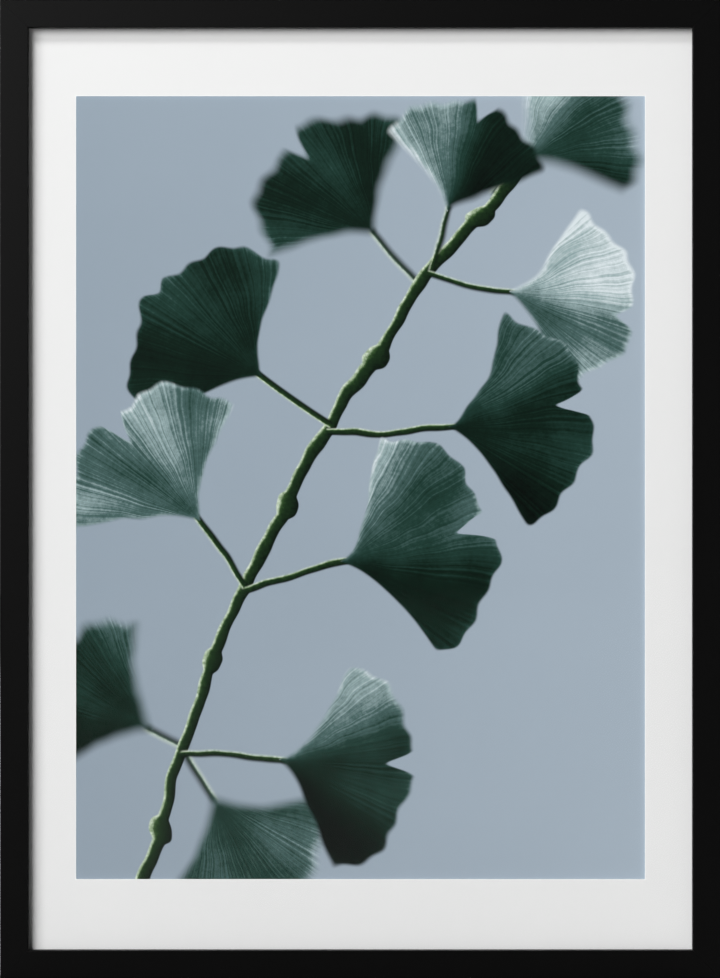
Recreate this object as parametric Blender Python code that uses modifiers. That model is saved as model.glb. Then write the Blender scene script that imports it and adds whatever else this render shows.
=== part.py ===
"""A framed print for a wall, in metres, with +Z up and the front facing -Y.

Four mitred lengths of black moulding hold a stack of sheets: a clear glazing
sheet, a mat with a bevelled window, the print, a backing board and a back
panel. Turn buttons on the back of the moulding swing over the back panel and
keep the stack in. A sawtooth strip on the top length takes the wall hook, and
two bumpers keep the lower corners off the wall. The frame's underside lies on
Z = 0, and the origin is at the middle of the whole object's width and depth.
"""

import math

import bmesh
import bpy
from mathutils import Matrix

# Moulding
OUTER_WIDTH = 0.5400
OUTER_HEIGHT = 0.7335
FACE = 0.0212
DEPTH = 0.0200
RABBET = 0.0050
OUTER_ARRIS = 0.0012
INNER_ARRIS = 0.0007

# Play between pieces that touch on the real object
GAP = 0.0003
SHEET_PLAY = 0.0005

# Sheets, from front to back
GLAZING_THICK = 0.0020
MAT_THICK = 0.0015
PRINT_THICK = 0.0004
BOARD_THICK = 0.0050
PANEL_THICK = 0.0030

# Window in the mat, measured where the mat meets the print
WINDOW_WIDTH = 0.4250
WINDOW_HEIGHT = 0.5865
WINDOW_RAISED = 0.0010
PRINT_MARGIN = 0.0100

# Fasteners on the back
BUTTON_LENGTH = 0.0260
BUTTON_WIDTH = 0.0090
BUTTON_NOSE = 0.0060
BUTTON_THICK = 0.0010
SCREW_HEAD_RADIUS = 0.0031
SCREW_HEAD_HEIGHT = 0.0014
SCREW_RADIUS = 0.0012
SCREW_LENGTH = 0.0110
NAIL_HEAD_RADIUS = 0.0021
NAIL_HEAD_HEIGHT = 0.0008
NAIL_RADIUS = 0.0008
NAIL_LENGTH = 0.0090
WING_LENGTH = 0.0045
WING_THICK = 0.0005
WING_DEPTH = 0.0100
WING_PLACES = {"outer": 0.0066, "inner": 0.0130}

# Sawtooth strip
STRIP_LENGTH = 0.0460
STRIP_HEIGHT = 0.0100
STRIP_THICK = 0.0008
STRIP_RISE = 0.0022
STRIP_FLAT_HALF = 0.0130
STRIP_FOLD_HALF = 0.0160
STRIP_HOLE_AT = 0.0195
STRIP_CORNER = 0.0020
TOOTH_PITCH = 0.0030
TOOTH_DEPTH = 0.0014
TOOTH_COUNT = 7

# Bumpers
BUMPER_RADIUS = 0.0060
BUMPER_THICK = 0.0035
BUMPER_ARRIS = 0.0008
BUMPER_ABOVE_BASE = 0.0330

WELD = 0.00001
ROUND_STEPS = 16
BUMPER_STEPS = 24

# Places that follow from the sizes above
Y_FRONT = -(DEPTH + GAP + BUMPER_THICK) / 2
Y_BACK = Y_FRONT + DEPTH
STACK = GLAZING_THICK + MAT_THICK + PRINT_THICK + BOARD_THICK + PANEL_THICK + 5 * GAP
LIP = DEPTH - STACK
LAND = FACE - RABBET
SHEET_WIDTH = OUTER_WIDTH - 2 * LAND - 2 * SHEET_PLAY
SHEET_HEIGHT = OUTER_HEIGHT - 2 * LAND - 2 * SHEET_PLAY
MIDDLE = OUTER_HEIGHT / 2
WINDOW_MIDDLE = MIDDLE + WINDOW_RAISED

# Each length of moulding: its own length, its middle on the outer edge, and its
# turn about Y, which points its local +Z at the middle of the frame
RAILS = {
    "bottom": (OUTER_WIDTH, (0.0, 0.0, 0.0), 0.0),
    "left": (OUTER_HEIGHT, (-OUTER_WIDTH / 2, 0.0, MIDDLE), math.pi / 2),
    "top": (OUTER_WIDTH, (0.0, 0.0, OUTER_HEIGHT), math.pi),
    "right": (OUTER_HEIGHT, (OUTER_WIDTH / 2, 0.0, MIDDLE), -math.pi / 2),
}
BUTTON_PLACES = {
    "bottom": (-OUTER_WIDTH / 4, OUTER_WIDTH / 4),
    "left": (-OUTER_HEIGHT / 3, 0.0, OUTER_HEIGHT / 3),
    "top": (-OUTER_WIDTH / 4, OUTER_WIDTH / 4),
    "right": (-OUTER_HEIGHT / 3, 0.0, OUTER_HEIGHT / 3),
}
CORNERS = {
    "bottom_left": (-1, -1),
    "bottom_right": (1, -1),
    "top_left": (-1, 1),
    "top_right": (1, 1),
}

# Turns a flat drawing in X and Y: up to face -Y, or into a section along X
DRAWN_UPRIGHT = Matrix.Rotation(math.pi / 2, 4, "X")
DRAWN_AS_SECTION = Matrix(((0, 0, 1, 0), (1, 0, 0, 0), (0, 1, 0, 0), (0, 0, 0, 1)))
AXIS_TO_BACK = -math.pi / 2


def start_scene():
    """Empty the scene and make the collections and the empty that holds all."""
    for thing in list(bpy.data.objects):
        bpy.data.objects.remove(thing)
    parts = bpy.data.collections.new("framed_print")
    cutters = bpy.data.collections.new("cutters")
    bpy.context.scene.collection.children.link(parts)
    bpy.context.scene.collection.children.link(cutters)
    holder = bpy.data.objects.new("framed_print_root", None)
    parts.objects.link(holder)
    return parts, cutters, holder


def finish(name, colour, roughness, metallic=0.0, alpha=1.0):
    """Plain material with a colour, a roughness and a metallic value."""
    material = bpy.data.materials.new(name)
    material.use_nodes = True
    shader = material.node_tree.nodes["Principled BSDF"]
    shader.inputs["Base Color"].default_value = (*colour, 1.0)
    shader.inputs["Roughness"].default_value = roughness
    shader.inputs["Metallic"].default_value = metallic
    shader.inputs["Alpha"].default_value = alpha
    material.diffuse_color = (*colour, alpha)
    return material


def place(name, mesh, material, location=(0, 0, 0), turn=(0, 0, 0)):
    """One named piece of the object, under the empty that holds all."""
    piece = bpy.data.objects.new(name, mesh)
    piece.location = location
    piece.rotation_euler = turn
    piece.parent = ROOT
    mesh.materials.append(material)
    PARTS.objects.link(piece)
    return piece


def open_to_cuts(piece):
    """Give a piece a group of cutters, which are all taken out of it at once."""
    group = bpy.data.collections.new("cuts_in_" + piece.name)
    CUTTERS.children.link(group)
    step = piece.modifiers.new("cuts", "BOOLEAN")
    step.operation = "DIFFERENCE"
    step.solver = "EXACT"
    step.operand_type = "COLLECTION"
    step.collection = group
    return group


def cut(groups, name, mesh, location=(0, 0, 0), turn=(0, 0, 0)):
    """Place one cutter, and take its shape out of the pieces of these groups."""
    cutter = bpy.data.objects.new(name, mesh)
    cutter.location = location
    cutter.rotation_euler = turn
    cutter.hide_render = True
    cutter.display_type = "WIRE"
    for group in groups:
        group.objects.link(cutter)


def mesh_from(solid, name):
    """Turn a bmesh into a mesh whose faces point outwards."""
    bmesh.ops.recalc_face_normals(solid, faces=solid.faces)
    mesh = bpy.data.meshes.new(name)
    solid.to_mesh(mesh)
    solid.free()
    return mesh


def drawn(outlines, length, stand):
    """Solid from closed outlines in X and Y; one inside another is a hole."""
    curve = bpy.data.curves.new("outline", "CURVE")
    curve.dimensions = "2D"
    curve.fill_mode = "BOTH"
    curve.extrude = length / 2
    for points in outlines:
        spline = curve.splines.new("POLY")
        spline.points.add(len(points) - 1)
        spline.use_cyclic_u = True
        for spot, (x, y) in zip(spline.points, points):
            spot.co = (x, y, 0.0, 1.0)
    drawing = bpy.data.objects.new("outline", curve)
    PARTS.objects.link(drawing)
    graph = bpy.context.evaluated_depsgraph_get()
    mesh = bpy.data.meshes.new_from_object(drawing.evaluated_get(graph))
    bpy.data.objects.remove(drawing)
    solid = bmesh.new()
    solid.from_mesh(mesh)
    bpy.data.meshes.remove(mesh)
    bmesh.ops.remove_doubles(solid, verts=solid.verts, dist=WELD)
    bmesh.ops.transform(solid, matrix=stand, verts=solid.verts)
    return solid


def box(width, depth, height):
    """Box centred on X and Z, with its front on Y = 0."""
    solid = bmesh.new()
    bmesh.ops.create_cube(solid, size=1.0)
    bmesh.ops.scale(solid, vec=(width, depth, height), verts=solid.verts)
    bmesh.ops.translate(solid, vec=(0, depth / 2, 0), verts=solid.verts)
    return solid


def turned(profile):
    """Open profile in X and Z, which turn_round spins into a solid."""
    mesh = bpy.data.meshes.new("profile")
    points = [(x, 0.0, z) for x, z in profile]
    mesh.from_pydata(points, [(i, i + 1) for i in range(len(points) - 1)], [])
    return mesh


def turn_round(piece, steps):
    """Spin a profile once about the piece's own Z."""
    spin = piece.modifiers.new("turned", "SCREW")
    spin.axis = "Z"
    spin.angle = math.tau
    spin.steps = steps
    spin.render_steps = steps
    spin.use_merge_vertices = True
    spin.merge_threshold = WELD


def circle(radius, middle=(0.0, 0.0), steps=ROUND_STEPS):
    """Closed outline of a round hole."""
    turns = [math.tau * i / steps for i in range(steps)]
    return [(middle[0] + radius * math.cos(t), middle[1] + radius * math.sin(t)) for t in turns]


def moulding_section():
    """L-shaped section: the lip in front and the land behind it, in Y and Z."""
    return [
        (Y_FRONT, 0.0),
        (Y_FRONT, FACE),
        (Y_FRONT + LIP, FACE),
        (Y_FRONT + LIP, LAND),
        (Y_BACK, LAND),
        (Y_BACK, 0.0),
    ]


def rail(side):
    """One length of moulding, with eased front arrises and mitred ends."""
    length, location, turn = RAILS[side]
    solid = drawn([moulding_section()], length, DRAWN_AS_SECTION)
    for height, radius in ((0.0, OUTER_ARRIS), (FACE, INNER_ARRIS)):
        arris = [
            edge for edge in solid.edges
            if all(abs(v.co.y - Y_FRONT) < WELD and abs(v.co.z - height) < WELD for v in edge.verts)
        ]
        bmesh.ops.bevel(
            solid, geom=arris, offset=radius, segments=3, profile=0.5, affect="EDGES", material=-1
        )
    reach = length / 2 - GAP / math.sqrt(2)
    for end in (-1, 1):
        every = solid.verts[:] + solid.edges[:] + solid.faces[:]
        split = bmesh.ops.bisect_plane(
            solid, geom=every, plane_co=(end * reach, 0, 0), plane_no=(end, 0, 1), clear_outer=True
        )
        rim = [item for item in split["geom_cut"] if isinstance(item, bmesh.types.BMEdge)]
        bmesh.ops.holes_fill(solid, edges=rim, sides=0)
    mesh = mesh_from(solid, "moulding_" + side)
    return open_to_cuts(place("rail_" + side, mesh, LACQUER, location, (0, turn, 0)))


def on_rail(side, along, inward, y):
    """World point on the back of a length of moulding."""
    _, (x, _, z), turn = RAILS[side]
    across = math.cos(turn) * along + math.sin(turn) * inward
    up = -math.sin(turn) * along + math.cos(turn) * inward
    return (x + across, y, z + up)


def wing_outline(slack):
    """L-shaped outline of a corner fastener, its apex at the origin."""
    far = -WING_LENGTH - slack
    near = -WING_THICK - slack
    return [(slack, slack), (far, slack), (far, near), (near, near), (near, far), (slack, far)]


def corner_fasteners(corner):
    """Two V-shaped steel fasteners pressed in across one mitre."""
    both = [RAIL_CUTS[side] for side in corner.split("_")]
    side_x, side_z = CORNERS[corner]
    turn = math.atan2(side_z, side_x) - math.atan2(-1, -1)
    for place_name, inset in WING_PLACES.items():
        x = side_x * (OUTER_WIDTH / 2 - inset)
        z = MIDDLE + side_z * (MIDDLE - inset)
        label = "v_nail_" + corner + "_" + place_name
        middle = (x, Y_BACK - GAP - WING_DEPTH / 2, z)
        nail = mesh_from(drawn([wing_outline(0.0)], WING_DEPTH, DRAWN_UPRIGHT), label)
        place(label, nail, STEEL, middle, (0, -turn, 0))
        slot = mesh_from(drawn([wing_outline(GAP)], WING_DEPTH + 4 * GAP, DRAWN_UPRIGHT), label)
        cut(both, label + "_slot", slot, (x, middle[1] + GAP, z), (0, -turn, 0))


def pilot_hole(side, name, spot, radius, depth):
    """Round blind hole into the back of the moulding."""
    drill = bmesh.new()
    bmesh.ops.create_cone(
        drill, cap_ends=True, segments=ROUND_STEPS, radius1=radius, radius2=radius, depth=2 * depth
    )
    mesh = mesh_from(drill, name)
    cut([RAIL_CUTS[side]], name, mesh, (spot[0], Y_BACK, spot[2]), (AXIS_TO_BACK, 0, 0))


def fastener_profile(head_radius, head_height, radius, length):
    """Domed head and pointed shank, from the top of the head to the point."""
    dome = [math.radians(angle) for angle in (0, 30, 60, 85)]
    head = [(head_radius * math.sin(a), head_height * math.cos(a)) for a in dome]
    point = 2.5 * radius
    return head + [(head_radius, 0.0), (radius, 0.0), (radius, point - length), (0.0, -length)]


def button_outline():
    """Turn button: a round eye at the pivot and a narrower round nose."""
    eye = BUTTON_WIDTH / 2
    nose = BUTTON_NOSE / 2
    nose_at = BUTTON_LENGTH - eye - nose
    steps = ROUND_STEPS // 2
    lower = [math.pi + math.pi * i / steps for i in range(steps + 1)]
    upper = [math.pi * i / steps for i in range(steps + 1)]
    around_eye = [(eye * math.cos(t), eye * math.sin(t)) for t in lower]
    around_nose = [(nose * math.cos(t), nose_at + nose * math.sin(t)) for t in upper]
    return around_eye + around_nose


def turn_button(side, number, along):
    """Steel button that turns on its screw and reaches over the back panel."""
    inward = LAND / 2
    spot = on_rail(side, along, inward, Y_BACK + GAP + BUTTON_THICK / 2)
    turn = RAILS[side][2]
    label = side + "_" + str(number)
    hole = circle(SCREW_RADIUS + GAP)
    leaf = mesh_from(drawn([button_outline(), hole], BUTTON_THICK, DRAWN_UPRIGHT), "button")
    place("turn_button_" + label, leaf, STEEL, spot, (0, turn, 0))
    profile = fastener_profile(SCREW_HEAD_RADIUS, SCREW_HEAD_HEIGHT, SCREW_RADIUS, SCREW_LENGTH)
    seat = (spot[0], Y_BACK + 2 * GAP + BUTTON_THICK, spot[2])
    screw = place("button_screw_" + label, turned(profile), STEEL, seat, (AXIS_TO_BACK, 0, 0))
    turn_round(screw, ROUND_STEPS)
    pilot_hole(side, "pilot_" + label, spot, SCREW_RADIUS + GAP, SCREW_LENGTH)


def strip_outline():
    """Sawtooth strip: clipped corners, and notches in its lower edge."""
    half = STRIP_LENGTH / 2
    top = STRIP_HEIGHT / 2
    clip = STRIP_CORNER
    outline = [(half - clip, top), (clip - half, top), (-half, top - clip)]
    outline += [(-half, clip - top), (clip - half, -top)]
    first = -TOOTH_PITCH * TOOTH_COUNT / 2
    for tooth in range(TOOTH_COUNT):
        outline.append((first + tooth * TOOTH_PITCH, -top))
        outline.append((first + (tooth + 0.5) * TOOTH_PITCH, TOOTH_DEPTH - top))
    outline += [(-first, -top), (half - clip, -top), (half, clip - top), (half, top - clip)]
    return outline


def sawtooth_hanger():
    """Toothed steel strip that stands off the moulding between its two ends."""
    holes = [circle(NAIL_RADIUS + GAP, (s * STRIP_HOLE_AT, 0.0)) for s in (-1, 1)]
    solid = drawn([strip_outline(), *holes], STRIP_THICK, DRAWN_UPRIGHT)
    for fold in (STRIP_FLAT_HALF, STRIP_FOLD_HALF):
        for side in (-1, 1):
            every = solid.verts[:] + solid.edges[:] + solid.faces[:]
            bmesh.ops.bisect_plane(solid, geom=every, plane_co=(side * fold, 0, 0), plane_no=(1, 0, 0))
    for corner in solid.verts:
        slope = (STRIP_FOLD_HALF - abs(corner.co.x)) / (STRIP_FOLD_HALF - STRIP_FLAT_HALF)
        corner.co.y += STRIP_RISE * min(1.0, max(0.0, slope))
    spot = on_rail("top", 0.0, LAND / 2, Y_BACK + GAP + STRIP_THICK / 2)
    place("sawtooth_hanger", mesh_from(solid, "sawtooth_hanger"), STEEL, spot)
    profile = fastener_profile(NAIL_HEAD_RADIUS, NAIL_HEAD_HEIGHT, NAIL_RADIUS, NAIL_LENGTH)
    for label, side in (("left", -1), ("right", 1)):
        seat = (side * STRIP_HOLE_AT, Y_BACK + 2 * GAP + STRIP_THICK, spot[2])
        nail = place("hanger_nail_" + label, turned(profile), STEEL, seat, (AXIS_TO_BACK, 0, 0))
        turn_round(nail, ROUND_STEPS)
        pilot_hole("top", "pilot_nail_" + label, seat, NAIL_RADIUS + GAP, NAIL_LENGTH)


def sheet_stack():
    """The sheets in the rabbet, laid from the lip to the back."""
    front = Y_FRONT + LIP + GAP
    glazing = mesh_from(box(SHEET_WIDTH, GLAZING_THICK, SHEET_HEIGHT), "glazing")
    place("glazing", glazing, CLEAR, (0, front, MIDDLE))
    front += GLAZING_THICK + GAP
    mat = mesh_from(box(SHEET_WIDTH, MAT_THICK, SHEET_HEIGHT), "mat_board")
    window_in(place("mat_board", mat, MAT_WHITE, (0, front, MIDDLE)), front)
    front += MAT_THICK + GAP
    sheet = box(WINDOW_WIDTH + 2 * PRINT_MARGIN, PRINT_THICK, WINDOW_HEIGHT + 2 * PRINT_MARGIN)
    place("print_sheet", mesh_from(sheet, "print_sheet"), PRINT_TONE, (0, front, WINDOW_MIDDLE))
    front += PRINT_THICK + GAP
    board = mesh_from(box(SHEET_WIDTH, BOARD_THICK, SHEET_HEIGHT), "backing_board")
    place("backing_board", board, BOARD_GREY, (0, front, MIDDLE))
    front += BOARD_THICK + GAP
    panel = mesh_from(box(SHEET_WIDTH, PANEL_THICK, SHEET_HEIGHT), "back_panel")
    place("back_panel", panel, FIBREBOARD, (0, front, MIDDLE))


def window_in(mat, front):
    """Cut the mat's window, which opens towards the front at 45 degrees."""
    reach = 2 * MAT_THICK
    solid = box(WINDOW_WIDTH, 2 * reach, WINDOW_HEIGHT)
    for corner in solid.verts:
        flare = MAT_THICK + reach - corner.co.y
        corner.co.x += math.copysign(flare, corner.co.x)
        corner.co.z += math.copysign(flare, corner.co.z)
    mesh = mesh_from(solid, "mat_window")
    cut([open_to_cuts(mat)], "mat_window", mesh, (0, front - reach, WINDOW_MIDDLE))


def bumpers():
    """Two rubber discs on the back of the side lengths, near the base."""
    rim = BUMPER_RADIUS - BUMPER_ARRIS
    profile = [
        (0.0, BUMPER_THICK),
        (rim, BUMPER_THICK),
        (BUMPER_RADIUS, BUMPER_THICK - BUMPER_ARRIS),
        (BUMPER_RADIUS, 0.0),
        (0.0, 0.0),
    ]
    for label, side in (("left", -1), ("right", 1)):
        spot = (side * (OUTER_WIDTH / 2 - LAND / 2), Y_BACK + GAP, BUMPER_ABOVE_BASE)
        disc = place("bumper_" + label, turned(profile), RUBBER, spot, (AXIS_TO_BACK, 0, 0))
        turn_round(disc, BUMPER_STEPS)


PARTS, CUTTERS, ROOT = start_scene()

LACQUER = finish("black_lacquer", (0.008, 0.008, 0.009), 0.55)
CLEAR = finish("clear_sheet", (0.95, 0.97, 0.97), 0.05, alpha=0.12)
MAT_WHITE = finish("mat_white", (0.86, 0.86, 0.86), 0.9)
PRINT_TONE = finish("print_blue_grey", (0.31, 0.38, 0.45), 0.75)
BOARD_GREY = finish("board_white", (0.72, 0.71, 0.69), 0.9)
FIBREBOARD = finish("fibreboard_brown", (0.24, 0.14, 0.08), 0.8)
STEEL = finish("zinc_steel", (0.62, 0.62, 0.60), 0.35, metallic=1.0)
RUBBER = finish("bumper_rubber", (0.03, 0.03, 0.03), 0.8)

RAIL_CUTS = {side: rail(side) for side in RAILS}
for corner_name in CORNERS:
    corner_fasteners(corner_name)
sheet_stack()
for rail_side, places in BUTTON_PLACES.items():
    for order, position in enumerate(places, start=1):
        turn_button(rail_side, order, position)
sawtooth_hanger()
bumpers()
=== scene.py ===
import math

import bmesh
import bpy
from mathutils import Matrix, Vector


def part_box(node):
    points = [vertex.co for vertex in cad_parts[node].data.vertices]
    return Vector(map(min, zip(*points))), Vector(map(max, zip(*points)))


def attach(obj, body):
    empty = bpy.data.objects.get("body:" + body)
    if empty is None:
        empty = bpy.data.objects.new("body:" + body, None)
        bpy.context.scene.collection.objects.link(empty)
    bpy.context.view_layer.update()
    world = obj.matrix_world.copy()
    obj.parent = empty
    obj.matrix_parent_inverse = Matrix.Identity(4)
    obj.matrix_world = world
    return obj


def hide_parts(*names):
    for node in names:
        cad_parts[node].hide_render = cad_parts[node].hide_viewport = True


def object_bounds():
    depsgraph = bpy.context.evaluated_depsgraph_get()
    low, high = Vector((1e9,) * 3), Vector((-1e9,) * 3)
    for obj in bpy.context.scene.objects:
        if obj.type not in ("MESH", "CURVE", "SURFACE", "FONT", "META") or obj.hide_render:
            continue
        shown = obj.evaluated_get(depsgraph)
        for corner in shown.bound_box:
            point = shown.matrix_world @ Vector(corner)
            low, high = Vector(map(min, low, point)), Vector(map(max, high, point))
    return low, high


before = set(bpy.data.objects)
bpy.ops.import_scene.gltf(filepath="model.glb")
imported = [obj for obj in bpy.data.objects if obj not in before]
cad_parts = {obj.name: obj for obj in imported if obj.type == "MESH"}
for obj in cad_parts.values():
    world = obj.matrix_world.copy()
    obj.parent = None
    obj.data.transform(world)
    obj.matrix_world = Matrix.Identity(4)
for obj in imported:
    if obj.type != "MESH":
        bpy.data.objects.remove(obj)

CAD_BOX = [list(corner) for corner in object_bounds()]

# Studio
# The frame is seen square on from 2.5 metres and just fills the view. A broad soft
# key stands high on the left, a small lamp above pales the upper edge, and three more
# light the back and the right side.
LOW, HIGH = (Vector(corner) for corner in CAD_BOX)
CENTRE = (LOW + HIGH) / 2
EYE_AWAY = 2.5
EYE_SENSOR = 36.0
EYE_CROP = 0.0013
EYE_ASIDE = -0.0004
FLOOR_HALF = 9.0
eye_data = bpy.data.cameras.new("eye")
eye_data.sensor_fit = "VERTICAL"
eye_data.sensor_height = EYE_SENSOR
eye_data.lens = EYE_SENSOR * EYE_AWAY / (HIGH.z - LOW.z - EYE_CROP)
eye = bpy.data.objects.new("eye", eye_data)
eye.location = (CENTRE.x + EYE_ASIDE, LOW.y - EYE_AWAY, CENTRE.z)
eye.rotation_euler = (math.pi / 2, 0, 0)
bpy.context.scene.collection.objects.link(eye)
bpy.context.scene.camera = eye
bpy.context.scene.view_settings.view_transform = "Standard"


def lamp(name, spot, wide, tall, power, matt=True, shiny=True):
    """A rectangular soft lamp that faces the middle of the picture."""
    data = bpy.data.lights.new(name, "AREA")
    data.shape = "RECTANGLE"
    data.size = wide
    data.size_y = tall
    data.energy = power
    thing = bpy.data.objects.new(name, data)
    thing.location = spot
    thing.rotation_euler = (CENTRE - Vector(spot)).to_track_quat("-Z", "Y").to_euler()
    thing.visible_camera = False
    thing.visible_diffuse = matt
    thing.visible_glossy = shiny
    bpy.context.scene.collection.objects.link(thing)


lamp("key", (-13.1, -20.5, CENTRE.z + 6.1), 19.8, 13.4, 5900, shiny=False)
lamp("top", (-0.8, -1.25, CENTRE.z + 1.8), 0.5, 0.4, 19, shiny=False)
lamp("sheen", (-1.15, -2.0, CENTRE.z + 1.0), 0.5, 0.5, 27, matt=False)
lamp("back_left", (-1.8, 3.2, 2.4), 1.8, 1.8, 170)
lamp("back_right", (2.4, 2.6, 1.6), 1.2, 1.2, 70)
lamp("right", (2.8, 1.0, 3.6), 1.6, 1.6, 130)


def seen(red, green, blue):
    """A colour given as it looks on a screen, 0 to 255, as linear light."""
    parts = [c / 255 for c in (red, green, blue)]
    linear = [c / 12.92 if c <= 0.04045 else ((c + 0.055) / 1.055) ** 2.4 for c in parts]
    return (*linear, 1.0)


class Wire:
    """A socket in a finish. Arithmetic on it adds Math nodes."""

    def __init__(self, tree, socket=None):
        self.tree = tree
        self.socket = socket

    def node(self, kind, settings={}, sockets={}, out=0):
        """Add a node: its settings first, then its sockets' values or links."""
        made = self.tree.nodes.new(kind)
        for name, value in settings.items():
            if name == "stops":
                ramp = made.color_ramp
                while len(ramp.elements) < len(value):
                    ramp.elements.new(1.0)
                for element, (position, colour) in zip(ramp.elements, value):
                    element.position = position
                    element.color = colour
            else:
                setattr(made, name, value)
        for name, value in sockets.items():
            if isinstance(value, Wire):
                self.tree.links.new(value.socket, made.inputs[name])
            else:
                made.inputs[name].default_value = value
        return Wire(self.tree, made.outputs[out])

    def maths(self, operation, *values):
        """A Math node on this and up to two more values."""
        sockets = dict(enumerate((self, *values)))
        return self.node("ShaderNodeMath", {"operation": operation}, sockets)

    def __add__(self, other):
        return self.maths("ADD", other)

    __radd__ = __add__

    def __sub__(self, other):
        return self.maths("SUBTRACT", other)

    def __rsub__(self, other):
        return self.node("ShaderNodeMath", {"operation": "SUBTRACT"}, {0: other, 1: self})

    def __mul__(self, other):
        return self.maths("MULTIPLY", other)

    __rmul__ = __mul__

    def __truediv__(self, other):
        return self.maths("DIVIDE", other)

    def __abs__(self):
        return self.maths("ABSOLUTE")


def finish(name, roughness, metallic=0.0):
    """A new material: the material, its shader node and its place on the object."""
    material = bpy.data.materials.new(name)
    material.use_nodes = True
    shader = material.node_tree.nodes["Principled BSDF"]
    shader.inputs["Roughness"].default_value = roughness
    shader.inputs["Metallic"].default_value = metallic
    spot = Wire(material.node_tree).node("ShaderNodeTexCoord", out="Object")
    return material, shader, spot


def feed(wire, shader, socket):
    """Link a wire to one of the shader's sockets."""
    wire.tree.links.new(wire.socket, shader.inputs[socket])


def noise(spot, scale, detail=2.0, rough=0.5):
    """Soft random values, 0 to 1, about 0.5."""
    sockets = {"Vector": spot, "Scale": scale, "Detail": detail, "Roughness": rough}
    return spot.node("ShaderNodeTexNoise", {}, sockets)


def mixed(amount, first, second):
    """A colour between two colours."""
    sockets = {0: amount, 6: first, 7: second}
    return amount.node("ShaderNodeMix", {"data_type": "RGBA"}, sockets, out=2)


floor_form = bmesh.new()
bmesh.ops.create_grid(floor_form, x_segments=1, y_segments=1, size=FLOOR_HALF)
floor_mesh = bpy.data.meshes.new("floor")
floor_form.to_mesh(floor_mesh)
floor_form.free()
floor = bpy.data.objects.new("floor", floor_mesh)
bpy.context.scene.collection.objects.link(floor)
floor_finish, floor_shader, floor_spot = finish("floor_plaster", 0.85)
floor_tone = mixed(noise(floor_spot, 3.0, 3.0), seen(134, 134, 133), seen(142, 142, 141))
feed(floor_tone, floor_shader, "Base Color")
floor_mesh.materials.append(floor_finish)

# The wall behind looks pale, but gives hardly any light.
room = bpy.data.worlds.new("room")
room.use_nodes = True
air = Wire(room.node_tree)
wall = air.node("ShaderNodeBackground", {}, {"Color": seen(100, 100, 99), "Strength": 1.0})
dusk = air.node("ShaderNodeBackground", {}, {"Color": (1.0, 1.0, 1.0, 1.0), "Strength": 0.02})
direct = air.node("ShaderNodeLightPath", out="Is Camera Ray")
around = air.node("ShaderNodeMixShader", {}, {0: direct, 1: dusk, 2: wall})
feed(around, room.node_tree.nodes["World Output"], "Surface")
bpy.context.scene.world = room

# Moulding
# Four lengths of square-edged hardwood, mitred and glued, rubbed down and sprayed
# with matt black lacquer. The two front arrises are eased, and the grain shows
# only as a faint unevenness of the film.
RAIL_SIDES = ("bottom", "left", "top", "right")
FACE = 0.0212
DEPTH = 0.0200
LIP = 0.0066
LAND = 0.0162
MITRE_LINE = 0.00005
OUTER_ARRIS = 0.0012
INNER_ARRIS = 0.0007
BACK_ARRIS = 0.0005
WIDTH = HIGH.x - LOW.x
HEIGHT = HIGH.z - LOW.z
Y_BACK = LOW.y + DEPTH


def piece(name, form, materials, body, *stands_for, smooth=30):
    """Make an object of a bmesh that rides on a body and replaces CAD nodes."""
    mesh = bpy.data.meshes.new(name)
    bmesh.ops.recalc_face_normals(form, faces=form.faces)
    form.to_mesh(mesh)
    form.free()
    mesh.shade_smooth()
    mesh.set_sharp_from_angle(angle=math.radians(smooth))
    for material in materials:
        mesh.materials.append(material)
    thing = bpy.data.objects.new(name, mesh)
    bpy.context.scene.collection.objects.link(thing)
    flat = thing.modifiers.new("flat_faces_stay_flat", "WEIGHTED_NORMAL")
    flat.keep_sharp = True
    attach(thing, body)
    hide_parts(*stands_for)
    return thing


def thickened(form, faces, along):
    """Extrude some flat faces into a closed plate or bar."""
    new = bmesh.ops.extrude_face_region(form, geom=faces)["geom"]
    moved = [item for item in new if isinstance(item, bmesh.types.BMVert)]
    bmesh.ops.translate(form, vec=along, verts=moved)


def rounded(form, edges, radius, segments):
    """Round some edges over."""
    bmesh.ops.bevel(
        form,
        geom=edges,
        offset=radius,
        segments=segments,
        profile=0.5,
        affect="EDGES",
        material=-1,
        clamp_overlap=True,
    )


def stretched(spot, scale):
    """Coordinates made denser along each axis by its own factor."""
    sockets = {"Vector": spot, "Scale": scale}
    return spot.node("ShaderNodeMapping", {"vector_type": "POINT"}, sockets)


def bumped(shader, height, distance, strength=1.0):
    """Let a height in 0 to 1 stand up by a distance on the shader's surface."""
    sockets = {"Height": height, "Distance": distance, "Strength": strength}
    feed(height.node("ShaderNodeBump", {}, sockets), shader, "Normal")


def lacquer(name, grain):
    """Black lacquer whose faint grain runs along the length of the wood."""
    material, shader, spot = finish(name, 0.4)
    streaks = noise(stretched(spot, grain), 60.0, 4.0, 0.6)
    mottle = noise(spot, 9.0, 3.0)
    peel = noise(spot, 900.0, 1.0)
    feed(mixed(streaks * 0.6 + mottle * 0.4, seen(3, 3, 3), seen(7, 7, 7)), shader, "Base Color")
    feed(0.46 + 0.06 * mottle + 0.04 * streaks, shader, "Roughness")
    bumped(shader, streaks * 0.7 + peel * 0.3, 0.00004, 0.6)
    shader.inputs["Specular IOR Level"].default_value = 0.14
    return material


LACQUER_LEVEL = lacquer("lacquer_level", (0.06, 1.0, 1.0))
LACQUER_UPRIGHT = lacquer("lacquer_upright", (1.0, 1.0, 0.06))

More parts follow.
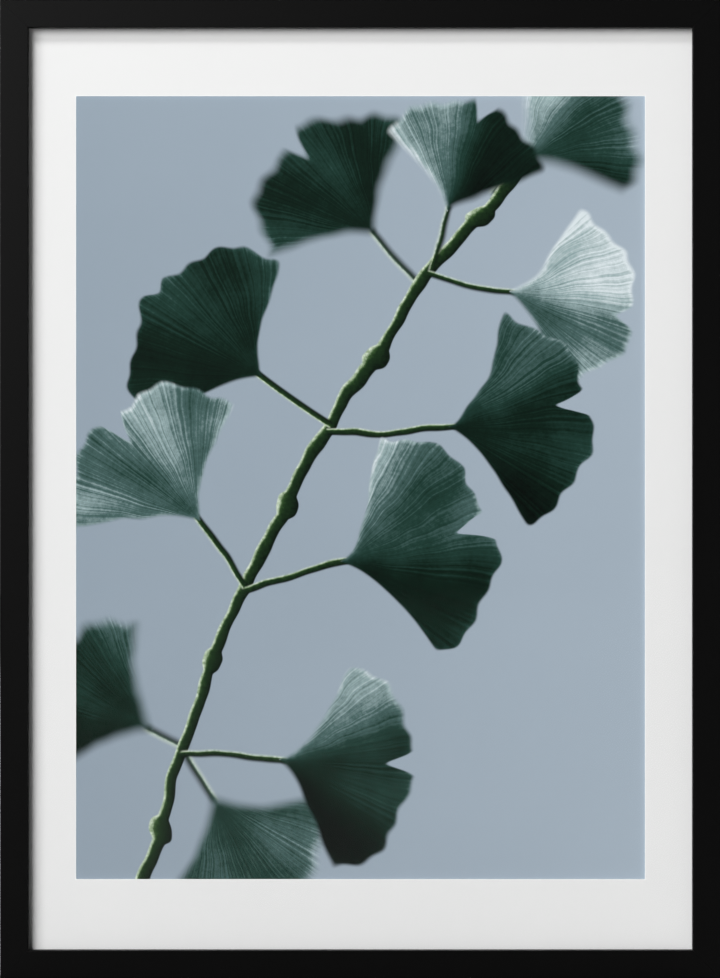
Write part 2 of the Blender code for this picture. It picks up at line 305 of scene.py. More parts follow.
for turn, side in enumerate(RAIL_SIDES):
    level = side in ("bottom", "top")
    half, reach = (WIDTH / 2, HEIGHT / 2) if level else (HEIGHT / 2, WIDTH / 2)
    section = [
        (LOW.y, 0),
        (LOW.y, FACE),
        (LOW.y + LIP, FACE),
        (LOW.y + LIP, LAND),
        (Y_BACK, LAND),
        (Y_BACK, 0),
    ]
    form = bmesh.new()
    end = form.faces.new([form.verts.new((-half, y, z)) for y, z in section])
    thickened(form, [end], (2 * half, 0, 0))
    for y, z, radius, segments in (
        (LOW.y, 0, OUTER_ARRIS, 5),
        (LOW.y, FACE, INNER_ARRIS, 4),
        (Y_BACK, 0, BACK_ARRIS, 2),
    ):
        line = Vector((0, y, z))
        arris = [e for e in form.edges if all((v.co - line).yz.length < 1e-6 for v in e.verts)]
        rounded(form, arris, radius, segments)
    for hand in (-1, 1):
        cut = bmesh.ops.bisect_plane(
            form,
            geom=form.verts[:] + form.edges[:] + form.faces[:],
            plane_co=(hand * (half - MITRE_LINE), 0, 0),
            plane_no=(hand, 0, 1),
            clear_outer=True,
        )
        rim = [item for item in cut["geom_cut"] if isinstance(item, bmesh.types.BMEdge)]
        bmesh.ops.holes_fill(form, edges=rim, sides=0)
    bmesh.ops.translate(form, vec=(0, 0, -reach), verts=form.verts)
    quarter = Matrix.Rotation(turn * math.pi / 2, 3, "Y")
    bmesh.ops.rotate(form, cent=(0, 0, 0), matrix=quarter, verts=form.verts)
    bmesh.ops.translate(form, vec=(0, 0, CENTRE.z), verts=form.verts)
    coat = LACQUER_LEVEL if level else LACQUER_UPRIGHT
    moulding = piece("moulding_" + side, form, [coat], "frame", "rail_" + side)

# Corner fasteners
# Two V-shaped fasteners of hard spring steel are pressed in across each mitre from
# the back, until their edges are flush with the wood.
WING_LONG = 0.0045
WING_THICK = 0.0005
WING_DEEP = 0.0103
WING_PROUD = 0.00006
WING_PLACES = (("outer", 0.0066), ("inner", 0.0130))
WING_ARRIS = 0.00008
CORNERS = (
    ("bottom_left", -1, -1),
    ("bottom_right", 1, -1),
    ("top_left", -1, 1),
    ("top_right", 1, 1),
)


def steel(name, dull, bright, scale):
    """Zinc-plated steel: a soft mottle in colour and shine, and fine scratches."""
    material, shader, spot = finish(name, 0.35, 1.0)
    mottle = noise(spot, scale, 3.0, 0.6)
    scratch = noise(stretched(spot, (1.0, 1.0, 0.05)), 6 * scale, 2.0)
    feed(mixed(mottle, dull, bright), shader, "Base Color")
    feed(0.26 + 0.16 * mottle + 0.10 * scratch, shader, "Roughness")
    bumped(shader, 0.6 * scratch + 0.4 * mottle, 0.00003, 0.5)
    return material


ZINC = steel("zinc_plate", seen(168, 168, 164), seen(206, 206, 202), 420.0)
SPRING = steel("spring_steel", seen(120, 121, 124), seen(158, 159, 161), 500.0)
for corner, hand_x, hand_z in CORNERS:
    for inset, inward in WING_PLACES:
        form = bmesh.new()
        outline = [(0, 0), (-WING_LONG, 0), (-WING_LONG, -WING_THICK), (-WING_THICK, -WING_THICK)]
        outline += [(-WING_THICK, -WING_LONG), (0, -WING_LONG)]
        face = form.faces.new([form.verts.new((-hand_x * x, 0, -hand_z * z)) for x, z in outline])
        thickened(form, [face], (0, WING_DEEP, 0))
        seat_x = hand_x * (WIDTH / 2 - inward)
        seat_z = CENTRE.z + hand_z * (HEIGHT / 2 - inward)
        seat = (seat_x, Y_BACK + WING_PROUD - WING_DEEP, seat_z)
        bmesh.ops.translate(form, vec=seat, verts=form.verts)
        rounded(form, form.edges[:], WING_ARRIS, 1)
        label = corner + "_" + inset
        fastener = piece("wing_" + label, form, [SPRING], "frame", "v_nail_" + label)

# Clear sheet
# A 2 mm acrylic sheet with a low-reflection coating lies against the lip. Square
# on it can't be seen, and at a glancing angle it mirrors the room.
clear = bpy.data.materials.new("clear_sheet")
clear.use_nodes = True
clear.node_tree.nodes.remove(clear.node_tree.nodes["Principled BSDF"])
bare = Wire(clear.node_tree)
through = bare.node("ShaderNodeBsdfTransparent", {}, {"Color": (0.987, 0.988, 0.987, 1.0)})
mirror = {"Color": (1.0, 1.0, 1.0, 1.0), "Roughness": 0.04}
gloss = bare.node("ShaderNodeBsdfAnisotropic", {}, mirror)
facing = bare.node("ShaderNodeFresnel", {}, {"IOR": 1.45})
film = bare.node("ShaderNodeMixShader", {}, {0: facing * 0.35, 1: through, 2: gloss})
feed(film, clear.node_tree.nodes["Material Output"], "Surface")
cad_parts["glazing"].material_slots[0].material = clear
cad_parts["glazing"].visible_shadow = False
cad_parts["glazing"].visible_diffuse = False

# Mat
# White cotton-faced board, 1.5 mm thick, with a window cut square. A fine flat line of
# the brighter core white round the window is a painted bright rim along its edge.
MAT_FRONT, MAT_BACK = (corner.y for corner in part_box("mat_board"))
SHEET_WIDTH, SHEET_HEIGHT = (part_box("mat_board")[1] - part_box("mat_board")[0]).xz
WINDOW_WIDTH = 0.4276
WINDOW_HEIGHT = 0.5885
WINDOW_RAISED = 0.0010
WHITE_LINE = 0.0007


def hoop(form, wide, tall, y, raised=0.0):
    """Four edges round a rectangle that stands upright."""
    middle = Vector((0, y, CENTRE.z + raised))
    corners = ((-1, -1), (1, -1), (1, 1), (-1, 1))
    verts = [form.verts.new(middle + Vector((x * wide, 0, z * tall)) / 2) for x, z in corners]
    return [form.edges.new((verts[i - 1], verts[i])) for i in range(4)]


form = bmesh.new()
line = 2 * WHITE_LINE
hoops = [
    hoop(form, SHEET_WIDTH, SHEET_HEIGHT, MAT_FRONT),
    hoop(form, WINDOW_WIDTH + line, WINDOW_HEIGHT + line, MAT_FRONT, WINDOW_RAISED),
    hoop(form, WINDOW_WIDTH, WINDOW_HEIGHT, MAT_FRONT, WINDOW_RAISED),
    hoop(form, WINDOW_WIDTH, WINDOW_HEIGHT, MAT_BACK, WINDOW_RAISED),
    hoop(form, SHEET_WIDTH, SHEET_HEIGHT, MAT_BACK),
]
# The flat ring just round the window takes the core white: a painted bright rim.
for first, second in zip(hoops, hoops[1:] + hoops[:1]):
    band = bmesh.ops.bridge_loops(form, edges=first + second)["faces"]
    for face in band:
        face.material_index = int(first is not hoops[0])

MAT_FACE, mat_shader, spot = finish("mat_face", 0.9)
tooth = noise(spot, 1500.0, 3.0, 0.6)
cloud = noise(spot, 14.0, 3.0)
face_tone = mixed(0.5 * tooth + 0.5 * cloud, seen(236, 236, 236), seen(240, 240, 240))
feed(face_tone, mat_shader, "Base Color")
feed(0.84 + 0.1 * tooth, mat_shader, "Roughness")
bumped(mat_shader, tooth, 0.00005, 0.5)
mat_shader.inputs["Specular IOR Level"].default_value = 0.2

# The core white also paints the bright rim round the window on the flat face.
MAT_CORE_AND_PAINTED_RIM, core_and_rim_shader, spot = finish("mat_core_and_painted_rim", 0.85)
pulp = noise(spot, 2600.0, 2.0)
feed(mixed(pulp, seen(248, 248, 247), seen(253, 253, 252)), core_and_rim_shader, "Base Color")
bumped(core_and_rim_shader, pulp, 0.00004, 0.4)

mat = piece("mat", form, [MAT_FACE, MAT_CORE_AND_PAINTED_RIM], "frame", "mat_board")
mat.visible_shadow = False

# Print
# A matt art print on heavy paper lies behind the mat. Its picture is a photograph of a
# ginkgo twig with fan-shaped leaves, some out of focus, on a plain blue-grey ground.
PRINT_LOW, PRINT_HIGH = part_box("print_sheet")
MM = 0.001
LEAF_TONES = [
    (0.00, seen(4, 12, 8)),
    (0.25, seen(12, 34, 25)),
    (0.46, seen(32, 62, 54)),
    (0.64, seen(76, 104, 102)),
    (0.82, seen(156, 178, 180)),
    (1.00, seen(222, 232, 236)),
]
STEM_TONES = [
    (0.00, seen(10, 22, 14)),
    (0.35, seen(26, 50, 26)),
    (0.62, seen(58, 88, 48)),
    (0.86, seen(158, 180, 146)),
    (1.00, seen(214, 226, 208)),
]


def eased(value, low, high):
    """0 below low and 1 above high, with a soft step between; low may be higher."""
    sockets = {0: value, 1: low, 2: high}
    return value.node("ShaderNodeMapRange", {"interpolation_type": "SMOOTHSTEP"}, sockets)


def apart(spot):
    """The across and along values of some coordinates."""
    split = spot.node("ShaderNodeSeparateXYZ", {}, {0: spot}).socket.node
    return Wire(spot.tree, split.outputs["X"]), Wire(spot.tree, split.outputs["Z"])


def toned(value, tones):
    """A colour from a row of tones, dark to pale."""
    return value.node("ShaderNodeValToRGB", {"stops": tones}, {0: value})


def motif(name, values):
    """A node group that lays one motif over a picture: the group and its wires."""
    group = bpy.data.node_groups.new(name, "ShaderNodeTree")
    group.interface.new_socket("Picture", in_out="INPUT", socket_type="NodeSocketColor")
    for value in values:
        group.interface.new_socket(value, in_out="INPUT", socket_type="NodeSocketFloat")
    group.interface.new_socket("Picture", in_out="OUTPUT", socket_type="NodeSocketColor")
    inlet = group.nodes.new("NodeGroupInput")
    return group, [Wire(group, socket) for socket in inlet.outputs[:-1]]


def laid(group, picture):
    """End a motif's group with its finished picture."""
    outlet = group.nodes.new("NodeGroupOutput")
    group.links.new(picture.socket, outlet.inputs[0])


def turned_to(x, z, foot_x, foot_z, turn, size):
    """Across and along from a foot on the print, in a motif's own direction and size."""
    right = (x - foot_x) / size
    up = (z - foot_z) / size
    cosine = turn.maths("COSINE")
    sine = turn.maths("SINE")
    return right * cosine - up * sine, right * sine + up * cosine


def stalk(picture, grain, across, along, bend, half, start, end, blur):
    """A round stem over the picture, with a pale lit edge on its left."""
    side = across - bend * (along * along)
    ends = eased(along, start - blur, start + blur) * eased(along, end + blur, end - blur)
    over = eased(abs(side) - half, blur, 0.0 - blur) * ends
    turned = side / half
    light = 0.02 - 0.32 * turned + 0.5 * grain + 0.36 * eased(turned, -0.30, -0.85)
    return mixed(over, picture, toned(light, STEM_TONES))


SHARED = ("X", "Z", "Grain", "Mottle")
PLACED = ("Foot X", "Foot Z", "Turn", "Size")
TWIG_VALUES = SHARED + PLACED + ("Bend", "Half", "Start", "End", "Blur")
TWIG, wires = motif("twig", TWIG_VALUES)
picture, x, z, grain, mottle, foot_x, foot_z, turn, size, bend, half, start, end, blur = wires
across, along = turned_to(x, z, foot_x, foot_z, turn, size)
bud = eased((along * (math.tau / 1.30) - 0.4).maths("COSINE"), 0.90, 1.0)
laid(TWIG, stalk(picture, grain, across, along, bend, half * (1.0 + 0.7 * bud), start, end, blur))

LEAF_VALUES = SHARED + PLACED + ("Spread", "Blur", "Seed", "Light", "Stem")
LEAF, wires = motif("fan_leaf", LEAF_VALUES)
picture, x, z, grain, mottle, foot_x, foot_z, turn, size, spread, blur, seed, light, stem = wires
across, along = turned_to(x, z, foot_x, foot_z, turn, size)
bend = 0.12 * seed.maths("SINE")
picture = stalk(picture, grain, across, along, bend, 0.024, 0.0 - stem, 0.05, 0.006 + blur * 0.5)
out = (across * across + along * along).maths("SQRT")
angle = across.maths("ARCTAN2", along)
wave = 0.028 * (angle * 9.0 + seed).maths("SINE")
wave = wave + 0.012 * (angle * 29.0 + 2.0 * seed).maths("SINE")
depth = 0.16 + 0.10 * (5.0 * seed).maths("SINE")
cleft = eased(abs(angle - 0.08 * (3.0 * seed).maths("SINE")), 0.10, 0.0) * depth
margin = 1.0 - 0.13 * (angle * angle) + wave - cleft - out
short = 1.0 - out
flank = (spread - 0.42 * spread * (short * short) - abs(angle)) * out
inside = margin.maths("SMOOTH_MIN", flank, 0.05)
over = eased(inside, -0.008 - blur, 0.008 + blur)
ray = {"W": angle * 34.0 + 9.0 * seed, "Scale": 1.0, "Detail": 2.0, "Roughness": 0.6}
veins = angle.node("ShaderNodeTexNoise", {"noise_dimensions": "1D"}, ray) - 0.5
pleat = (angle * 6.5 + out * 1.3 + 3.0 * seed).maths("SINE")
lean = (turn.maths("COSINE") + turn.maths("SINE")) * -0.34 + 0.14 * (7.0 * seed).maths("SINE")
rim = eased(inside, 0.034 + blur, 0.004) * (0.05 + 0.10 * mottle)
tone = 0.05 + light + 0.36 * veins + 0.12 * pleat * out
tone = tone + angle * lean + 0.14 * out + rim + 0.36 * mottle + 0.16 * grain
laid(LEAF, mixed(over, picture, toned(tone, LEAF_TONES)))

# foot x, foot z, turn, size, spread, blur, seed, light, stem
LEAVES_BEHIND = [
    (-159, -181, -62, 92, 0.95, 0.060, 2.7, -0.08, 0.36),
    (-112, -232, 148, 96, 0.98, 0.050, 3.4, 0.10, 0.44),
    (122, 246, 52, 88, 0.95, 0.070, 1.1, 0.16, 0.4),
    (12, 190, -42, 96, 1.00, 0.045, 6.3, -0.12, 0.53),
]
LEAVES_BEFORE = [
    (66, 208, 15, 84, 0.90, 0.030, 0.6, 0.02, 0.56),
    (114, 146, 98, 92, 1.00, 0.016, 4.9, 0.35, 0.68),
    (-72, 82, -52, 106, 1.02, 0.006, 2.2, -0.12, 0.57),
    (66, 46, 84, 108, 1.00, 0.004, 5.6, -0.08, 0.85),
    (-122, -24, -38, 104, 0.98, 0.010, 3.9, 0.24, 0.6),
    (-62, -204, 97, 104, 1.00, 0.014, 1.7, -0.04, 0.7),
    (-14, -56, 74, 116, 1.04, 0.002, 0.2, 0.02, 0.65),
]
TWIG_USE = (-60, -20, 27, 100, 0.040, 0.050, -3.6, 3.15, 0.006)
COLUMNS = (-71, 71)
ROWS = (-146, 0, 146)


def reaches(leaf, low_x, high_x, low_z, high_z):
    """Whether a leaf, with its stem and its blur, touches an area of the print."""
    foot_x, foot_z, turn, size, spread, blur, seed, light, stem = leaf
    middle_x = foot_x + 0.2 * size * math.sin(math.radians(turn))
    middle_z = foot_z + 0.2 * size * math.cos(math.radians(turn))
    gap_x = max(low_x - middle_x, 0, middle_x - high_x)
    gap_z = max(low_z - middle_z, 0, middle_z - high_z)
    return math.hypot(gap_x, gap_z) < size * max(1.04 + blur, 0.22 + stem)


def printed(name, area):
    """The print's finish in one area, with only the motifs that reach it."""
    material, shader, spot = finish(name, 0.55)
    x, z = apart(spot)
    sway = noise(spot, 16.0, 2.0) - 0.5
    x = x * 1000.0 + sway * 18.0
    z = (z - (CENTRE.z + WINDOW_RAISED)) * 1000.0 - sway * 12.0
    grain = noise(spot, 420.0, 2.0, 0.6)
    mottle = noise(spot, 26.0, 3.0, 0.55)
    glow = 0.45 + 0.0015 * x + 0.25 * (noise(spot, 5.0, 2.0) - 0.5)
    picture = mixed(glow, seen(146, 160, 173), seen(172, 186, 199))
    shared = {"X": x, "Z": z, "Grain": grain, "Mottle": mottle}
    uses = [(LEAF, LEAF_VALUES, leaf) for leaf in LEAVES_BEHIND if reaches(leaf, *area)]
    uses.append((TWIG, TWIG_VALUES, TWIG_USE))
    uses += [(LEAF, LEAF_VALUES, leaf) for leaf in LEAVES_BEFORE if reaches(leaf, *area)]
    for group, names, values in uses:
        sockets = {"Picture": picture, **shared, **dict(zip(names[len(SHARED):], values))}
        sockets["Turn"] = math.radians(sockets["Turn"])
        picture = spot.node("ShaderNodeGroup", {"node_tree": group}, sockets)
    feed(picture, shader, "Base Color")
    shader.inputs["Specular IOR Level"].default_value = 0.08
    return material


PAPER, paper_shader, spot = finish("paper_back", 0.8)
back_tone = mixed(noise(spot, 1400.0, 2.0), seen(232, 231, 228), seen(242, 241, 239))
feed(back_tone, paper_shader, "Base Color")

form = bmesh.new()
bmesh.ops.create_cube(form, size=1.0)
bmesh.ops.scale(form, vec=PRINT_HIGH - PRINT_LOW, verts=form.verts)
bmesh.ops.translate(form, vec=(PRINT_LOW + PRINT_HIGH) / 2, verts=form.verts)
lines = [((at * MM, 0, 0), (1, 0, 0)) for at in COLUMNS]
lines += [((0, 0, CENTRE.z + WINDOW_RAISED + at * MM), (0, 0, 1)) for at in ROWS]
for point, across in lines:
    every = form.verts[:] + form.edges[:] + form.faces[:]
    bmesh.ops.bisect_plane(form, geom=every, plane_co=point, plane_no=across)
finishes = [PAPER]
edges_x = (-230, *COLUMNS, 230)
edges_z = (-300, *ROWS, 300)
for face in form.faces:
    middle = face.calc_center_median()
    if middle.y < PRINT_LOW.y + 1e-6:
        middle_x, middle_z = middle.x / MM, (middle.z - CENTRE.z - WINDOW_RAISED) / MM
        column = sum(middle_x > at for at in COLUMNS)
        row = sum(middle_z > at for at in ROWS)
        area = (edges_x[column], edges_x[column + 1], edges_z[row], edges_z[row + 1])
        face.material_index = len(finishes)
        finishes.append(printed("printed_area_" + str(column) + "_" + str(row), area))
art = piece("art_print", form, finishes, "frame", "print_sheet")

# Backing board
# A foam-cored board, 5 mm thick, keeps the print flat. It has white paper on both
# faces, and the pale foam shows at its cut edges. It keeps the solid's shape.
BOARD, board_shader, spot = finish("foam_board", 0.85)
cells = noise(spot, 1700.0, 2.0)
board_low, board_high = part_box("backing_board")
inward = spot.node("ShaderNodeSeparateXYZ", {}, {0: spot}, out="Y")
foam = eased(abs(inward - (board_low.y + board_high.y) / 2), 0.0022, 0.0020)
paper_tone = mixed(cells, seen(224, 223, 219), seen(234, 233, 230))
foam_tone = mixed(cells, seen(204, 205, 203), seen(238, 239, 238))
feed(mixed(foam, paper_tone, foam_tone), board_shader, "Base Color")
bumped(board_shader, cells, 0.00008, 0.5)
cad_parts["backing_board"].material_slots[0].material = BOARD

# Back panel
# Brown hardboard, 3 mm thick, pressed from wood fibre and cut with slightly eased
# edges. The turn buttons have rubbed faint arcs into its face.
PANEL_LOW, PANEL_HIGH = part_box("back_panel")
PANEL_CORNER = 0.0012
PANEL_ARRIS = 0.0003
STRAND_ANGLES = (12, 68, 104, 151)
RUBBED_RADIUS = 0.0186
BUTTON_SPOTS = {
    "bottom": (-WIDTH / 4, WIDTH / 4),
    "left": (-HEIGHT / 3, 0.0, HEIGHT / 3),
    "top": (-WIDTH / 4, WIDTH / 4),
    "right": (-HEIGHT / 3, 0.0, HEIGHT / 3),
}

form = bmesh.new()
bmesh.ops.create_cube(form, size=1.0)
bmesh.ops.scale(form, vec=PANEL_HIGH - PANEL_LOW, verts=form.verts)
bmesh.ops.translate(form, vec=(PANEL_LOW + PANEL_HIGH) / 2, verts=form.verts)
upright = [e for e in form.edges if abs(e.verts[0].co.y - e.verts[1].co.y) > 0.001]
rounded(form, upright, PANEL_CORNER, 4)
edging = [e for e in form.edges if abs(e.verts[0].co.y - e.verts[1].co.y) < 1e-6]
rounded(form, edging, PANEL_ARRIS, 2)

HARDBOARD, panel_shader, spot = finish("hardboard", 0.7)
felt = 0.0
strands = 0.0
for angle in STRAND_ANGLES:
    settings = {"Vector": spot, "Rotation": (0, math.radians(angle), 0), "Scale": (1, 1, 7)}
    drawn = spot.node("ShaderNodeMapping", {"vector_type": "TEXTURE"}, settings)
    felt = noise(drawn, 560.0, 3.0, 0.65) * (1 / len(STRAND_ANGLES)) + felt
    strands = noise(drawn, 340.0, 2.0, 0.6).maths("MAXIMUM", strands)
clouds = noise(spot, 9.0, 5.0, 0.72)
flecks = eased(noise(spot, 330.0, 2.0, 0.7), 0.65, 0.75)
x, z = apart(spot)
rubbed = 0.0
edge_x = WIDTH / 2 - LAND / 2
edge_z = HEIGHT / 2 - LAND / 2
for button_x, button_z in ((edge_x, 0.0), (edge_x, HEIGHT / 3), (WIDTH / 4, edge_z)):
    right = abs(x) - button_x
    up = abs(z - CENTRE.z) - button_z
    ring = (right * right + up * up).maths("SQRT") - RUBBED_RADIUS
    rubbed = eased(abs(ring), 0.0030, 0.0012) * 0.35 + rubbed
tone = mixed(1.3 * felt + 0.9 * clouds - 0.6, seen(92, 62, 40), seen(164, 124, 86))
tone = mixed(eased(strands, 0.64, 0.78) * 0.5, tone, seen(182, 144, 104))
tone = mixed(flecks * 0.5, tone, seen(66, 44, 29))
tone = mixed(rubbed * (0.4 + 0.6 * felt), tone, seen(178, 142, 106))
feed(tone, panel_shader, "Base Color")
feed(0.62 + 0.18 * felt - 0.12 * rubbed, panel_shader, "Roughness")
bumped(panel_shader, felt, 0.00012, 0.6)
panel = piece("hardboard_back", form, [HARDBOARD], "frame", "back_panel")

# Turn buttons
# Stamped steel tongues, 1 mm thick and zinc plated, with a round eye over the
# screw and a rounded nose over the panel. Each turns on its own screw.
BUTTON_EYE = 0.0045
BUTTON_NOSE = 0.0030
BUTTON_NOSE_AT = 0.0185
BUTTON_HOLE = 0.0015
BUTTON_THICK = 0.0010
BUTTON_EDGE = 0.00018
PLAY = 0.0003


def arc(form, start, centre, angle, steps):
    """Vertices and edges spun from a start point about a centre: the two ends."""
    first = form.verts.new(start)
    settings = {"cent": centre, "axis": (0, 1, 0), "angle": angle, "steps": steps}
    last = bmesh.ops.spin(form, geom=[first], dvec=(0, 0, 0), use_duplicate=False, **settings)
    return first, [item for item in last["geom_last"] if isinstance(item, bmesh.types.BMVert)][0]


def holed(form, centre, radius, steps):
    """Draw a round hole that a flat fill leaves open."""
    stand = Matrix.Translation(centre) @ Matrix.Rotation(math.pi / 2, 4, "X")
    bmesh.ops.create_circle(form, cap_ends=False, segments=steps, radius=radius, matrix=stand)


def stamped(form, thick, edge):
    """Fill a flat outline with its holes, thicken it and ease all its sharp edges."""
    bmesh.ops.triangle_fill(form, use_beauty=True, edges=form.edges[:], normal=(0, 1, 0))
    thickened(form, form.faces[:], (0, thick, 0))
    form.normal_update()
    sharp = [e for e in form.edges if len(e.link_faces) == 2 and e.calc_face_angle() > 1.0]
    rounded(form, sharp, edge, 2)


def stand_on(form, side, along, inward, y):
    """Move a shape drawn at the origin onto the back of a length of moulding."""
    turn = RAIL_SIDES.index(side)
    reach = HEIGHT / 2 if side in ("bottom", "top") else WIDTH / 2
    bmesh.ops.translate(form, vec=(along, y, inward - reach), verts=form.verts)
    quarter = Matrix.Rotation(turn * math.pi / 2, 3, "Y")
    bmesh.ops.rotate(form, cent=(0, 0, 0), matrix=quarter, verts=form.verts)
    bmesh.ops.translate(form, vec=(0, 0, CENTRE.z), verts=form.verts)


for side, places in BUTTON_SPOTS.items():
    for order, along in enumerate(places, start=1):
        label = side + "_" + str(order)
        form = bmesh.new()
        eye_start, eye_end = arc(form, (BUTTON_EYE, 0, 0), (0, 0, 0), math.pi, 18)
        nose = Vector((0, 0, BUTTON_NOSE_AT))
        nose_start, nose_end = arc(form, nose - Vector((BUTTON_NOSE, 0, 0)), nose, math.pi, 14)
        form.edges.new((eye_end, nose_start))
        form.edges.new((nose_end, eye_start))
        holed(form, (0, 0, 0), BUTTON_HOLE, 24)
        stamped(form, BUTTON_THICK, BUTTON_EDGE)
        stand_on(form, side, along, LAND / 2, Y_BACK + PLAY)
        name = "button_" + label
        button = piece(name, form, [ZINC], name, "turn_" + name, smooth=20)

# Button screws
# Pan-head wood screws, 11 mm long, with a cross recess and a rolled thread. Each is
# driven home at its own angle and just lets its button turn.
SCREW_HEAD = 0.0031
SCREW_RISE = 0.0014
SCREW_SHANK = 0.0012
SCREW_ROOT = 0.0009
SCREW_LENGTH = 0.0110
THREAD_PITCH = 0.0011
THREAD_START = -0.0010
THREAD_TURNS = 8
CROSS_LONG = 0.0044
CROSS_WIDE = 0.0010
CROSS_DEEP = 0.0009
SCREW_TURNS = (12, 77, 40, 5, 63, 28, 84, 50, 19, 71)


def spun(form, profile, steps):
    """Spin a profile of radius and height about the Y axis into a closed turning."""
    points = [form.verts.new((radius, height, 0)) for radius, height in profile]
    edges = [form.edges.new(pair) for pair in zip(points, points[1:])]
    settings = {"cent": (0, 0, 0), "axis": (0, 1, 0), "angle": math.tau, "steps": steps}
    bmesh.ops.spin(form, geom=points + edges, dvec=(0, 0, 0), use_merge=True, **settings)
    bmesh.ops.remove_doubles(form, verts=form.verts, dist=1e-6)


def without(form, cutter):
    """Take one closed shape out of another with a Boolean modifier."""
    things = []
    for shape in (form, cutter):
        mesh = bpy.data.meshes.new("blank")
        bmesh.ops.recalc_face_normals(shape, faces=shape.faces)
        shape.to_mesh(mesh)
        shape.free()
        things.append(bpy.data.objects.new("blank", mesh))
        bpy.context.scene.collection.objects.link(things[-1])
    step = things[0].modifiers.new("cross", "BOOLEAN")
    step.operation = "DIFFERENCE"
    step.solver = "EXACT"
    step.object = things[1]
    shown = things[0].evaluated_get(bpy.context.evaluated_depsgraph_get())
    mesh = bpy.data.meshes.new_from_object(shown)
    for thing in things:
        bpy.data.objects.remove(thing)
    return mesh


dome = [math.radians(angle) for angle in (0, 12, 24, 36, 48, 60, 72, 82)]
profile = [(SCREW_HEAD * math.sin(a), SCREW_RISE * math.cos(a) ** 0.8) for a in dome]
profile += [(SCREW_HEAD, 0.00014), (SCREW_HEAD - 0.00008, 0.0), (SCREW_SHANK, 0.0)]
for ridge in range(THREAD_TURNS):
    at = THREAD_START - ridge * THREAD_PITCH
    profile += [(SCREW_ROOT, at), (SCREW_ROOT, at - 0.4 * THREAD_PITCH)]
    profile += [(SCREW_SHANK, at - 0.7 * THREAD_PITCH)]
profile += [(0.0005, 0.0010 - SCREW_LENGTH), (0.0, -SCREW_LENGTH)]
head = bmesh.new()
spun(head, profile, 32)
cross = bmesh.new()
near, far = CROSS_WIDE / 2, CROSS_LONG / 2
arm = [(near, far), (near, near), (far, near)]
arms = arm + [(x, -z) for x, z in reversed(arm)]
arms += [(-x, -z) for x, z in arm] + [(-x, z) for x, z in reversed(arm)]
plus = cross.faces.new([cross.verts.new((x, SCREW_RISE + CROSS_DEEP, z)) for x, z in arms])
thickened(cross, [plus], (0, -2 * CROSS_DEEP, 0))
foot = [v for v in cross.verts if v.co.y < SCREW_RISE]
bmesh.ops.scale(cross, vec=(0.45, 1.0, 0.45), verts=foot)
SCREW_SHAPE = without(head, cross)
BRIGHT = steel("bright_screw_steel", seen(196, 190, 172), seen(228, 222, 204), 380.0)

angles = iter(SCREW_TURNS)
for side, places in BUTTON_SPOTS.items():
    for order, along in enumerate(places, start=1):
        form = bmesh.new()
        form.from_mesh(SCREW_SHAPE)
        bmesh.ops.remove_doubles(form, verts=form.verts, dist=0.00002)
        own_turn = Matrix.Rotation(math.radians(next(angles)), 3, "Y")
        bmesh.ops.rotate(form, cent=(0, 0, 0), matrix=own_turn, verts=form.verts)
        stand_on(form, side, along, LAND / 2, Y_BACK + 2 * PLAY + BUTTON_THICK)
        label = side + "_" + str(order)
        screw = piece("screw_" + label, form, [BRIGHT], "frame", "button_screw_" + label)

# Sawtooth hanger
# A stamped strip with a toothed lower edge. Its two ends are folded down to the wood,
# and its raised middle leaves room for the head of a wall nail.
STRIP_HALF = 0.0230
STRIP_TALL = 0.0100
STRIP_THICK = 0.0008
STRIP_RISE = 0.0022
STRIP_FLAT = 0.0130
STRIP_FOLD = 0.0160
STRIP_HOLE_AT = 0.0195
STRIP_HOLE = 0.0011
STRIP_CORNER = 0.0020
STRIP_EDGE = 0.00012
TOOTH_PITCH = 0.0030
TOOTH_DEEP = 0.0014
TOOTH_COUNT = 7
FOLD_STEPS = 8

top = STRIP_TALL / 2
outline = [(STRIP_HALF - STRIP_CORNER, top), (STRIP_CORNER - STRIP_HALF, top)]
outline += [(-STRIP_HALF, top - STRIP_CORNER), (-STRIP_HALF, STRIP_CORNER - top)]
outline += [(STRIP_CORNER - STRIP_HALF, -top)]
for tooth in range(TOOTH_COUNT):
    root = (tooth - TOOTH_COUNT / 2) * TOOTH_PITCH
    outline += [(root, -top), (root + 0.5 * TOOTH_PITCH, TOOTH_DEEP - top)]
outline += [(TOOTH_COUNT / 2 * TOOTH_PITCH, -top), (STRIP_HALF - STRIP_CORNER, -top)]
outline += [(STRIP_HALF, STRIP_CORNER - top), (STRIP_HALF, top - STRIP_CORNER)]

form = bmesh.new()
rim = [form.verts.new((x, 0, z)) for x, z in outline]
for first, second in zip(rim, rim[1:] + rim[:1]):
    form.edges.new((first, second))
for hand in (-1, 1):
    holed(form, (hand * STRIP_HOLE_AT, 0, 0), STRIP_HOLE, 20)
stamped(form, STRIP_THICK, STRIP_EDGE)
for step in range(FOLD_STEPS + 1):
    fold = STRIP_FLAT + (STRIP_FOLD - STRIP_FLAT) * step / FOLD_STEPS
    for hand in (-1, 1):
        every = form.verts[:] + form.edges[:] + form.faces[:]
        bmesh.ops.bisect_plane(form, geom=every, plane_co=(hand * fold, 0, 0), plane_no=(1, 0, 0))
for vert in form.verts:
    share = min(1.0, max(0.0, (STRIP_FOLD - abs(vert.co.x)) / (STRIP_FOLD - STRIP_FLAT)))
    vert.co.y += STRIP_RISE * share * share * (3 - 2 * share)
bmesh.ops.translate(form, vec=(0, Y_BACK + PLAY, HIGH.z - LAND / 2), verts=form.verts)
hanger = piece("hanger_strip", form, [ZINC], "frame", "sawtooth_hanger", smooth=25)

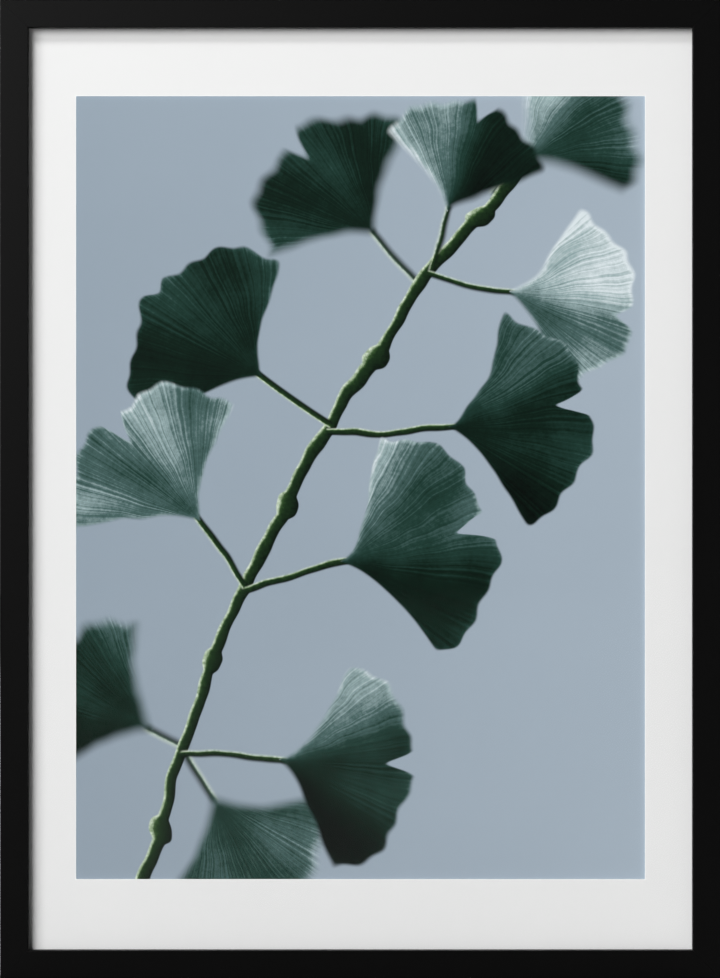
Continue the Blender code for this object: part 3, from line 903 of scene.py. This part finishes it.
# Hanger nails
# Two flat-headed steel pins, 9 mm long, hold the strip's folded ends to the wood.
# Each head is slightly domed from the hammer.
PIN_HEAD = 0.0021
PIN_RISE = 0.0008
PIN_SHANK = 0.0008
PIN_LENGTH = 0.0090
for label, hand in (("left", -1), ("right", 1)):
    form = bmesh.new()
    head = [(0.0, PIN_RISE), (0.0011, 0.95 * PIN_RISE), (0.0017, 0.80 * PIN_RISE)]
    head += [(0.0020, 0.52 * PIN_RISE), (PIN_HEAD, 0.25 * PIN_RISE)]
    head += [(PIN_HEAD - 0.00008, 0.0), (PIN_SHANK, 0.0)]
    spun(form, head + [(PIN_SHANK, 0.0020 - PIN_LENGTH), (0.0, -PIN_LENGTH)], 28)
    seat = (hand * STRIP_HOLE_AT, Y_BACK + 2 * PLAY + STRIP_THICK, HIGH.z - LAND / 2)
    bmesh.ops.translate(form, vec=seat, verts=form.verts)
    pin = piece("pin_" + label, form, [ZINC], "frame", "hanger_nail_" + label)

# Bumpers
# Two self-adhesive discs of soft black rubber keep the lower corners off the wall
# and stop the frame from sliding. Their backs are moulded with a shallow dome.
BUMPER_ABOVE_BASE = 0.0330
BUMPER_SECTION = [
    (0.0, 0.0035),
    (0.0030, 0.00346),
    (0.0045, 0.00325),
    (0.0053, 0.0028),
    (0.0058, 0.0021),
    (0.0060, 0.0012),
    (0.0060, 0.0003),
    (0.0058, 0.0),
    (0.0, 0.0),
]
RUBBER, rubber_shader, spot = finish("bumper_rubber", 0.75)
grit = noise(spot, 2200.0, 2.0)
feed(mixed(grit, seen(20, 20, 20), seen(34, 34, 34)), rubber_shader, "Base Color")
feed(0.66 + 0.2 * grit, rubber_shader, "Roughness")
bumped(rubber_shader, grit, 0.00003, 0.5)
for label, hand in (("left", -1), ("right", 1)):
    form = bmesh.new()
    spun(form, BUMPER_SECTION, 36)
    seat = (hand * (WIDTH / 2 - LAND / 2), Y_BACK + PLAY, BUMPER_ABOVE_BASE)
    bmesh.ops.translate(form, vec=seat, verts=form.verts)
    disc = piece("rubber_foot_" + label, form, [RUBBER], "frame", "bumper_" + label)
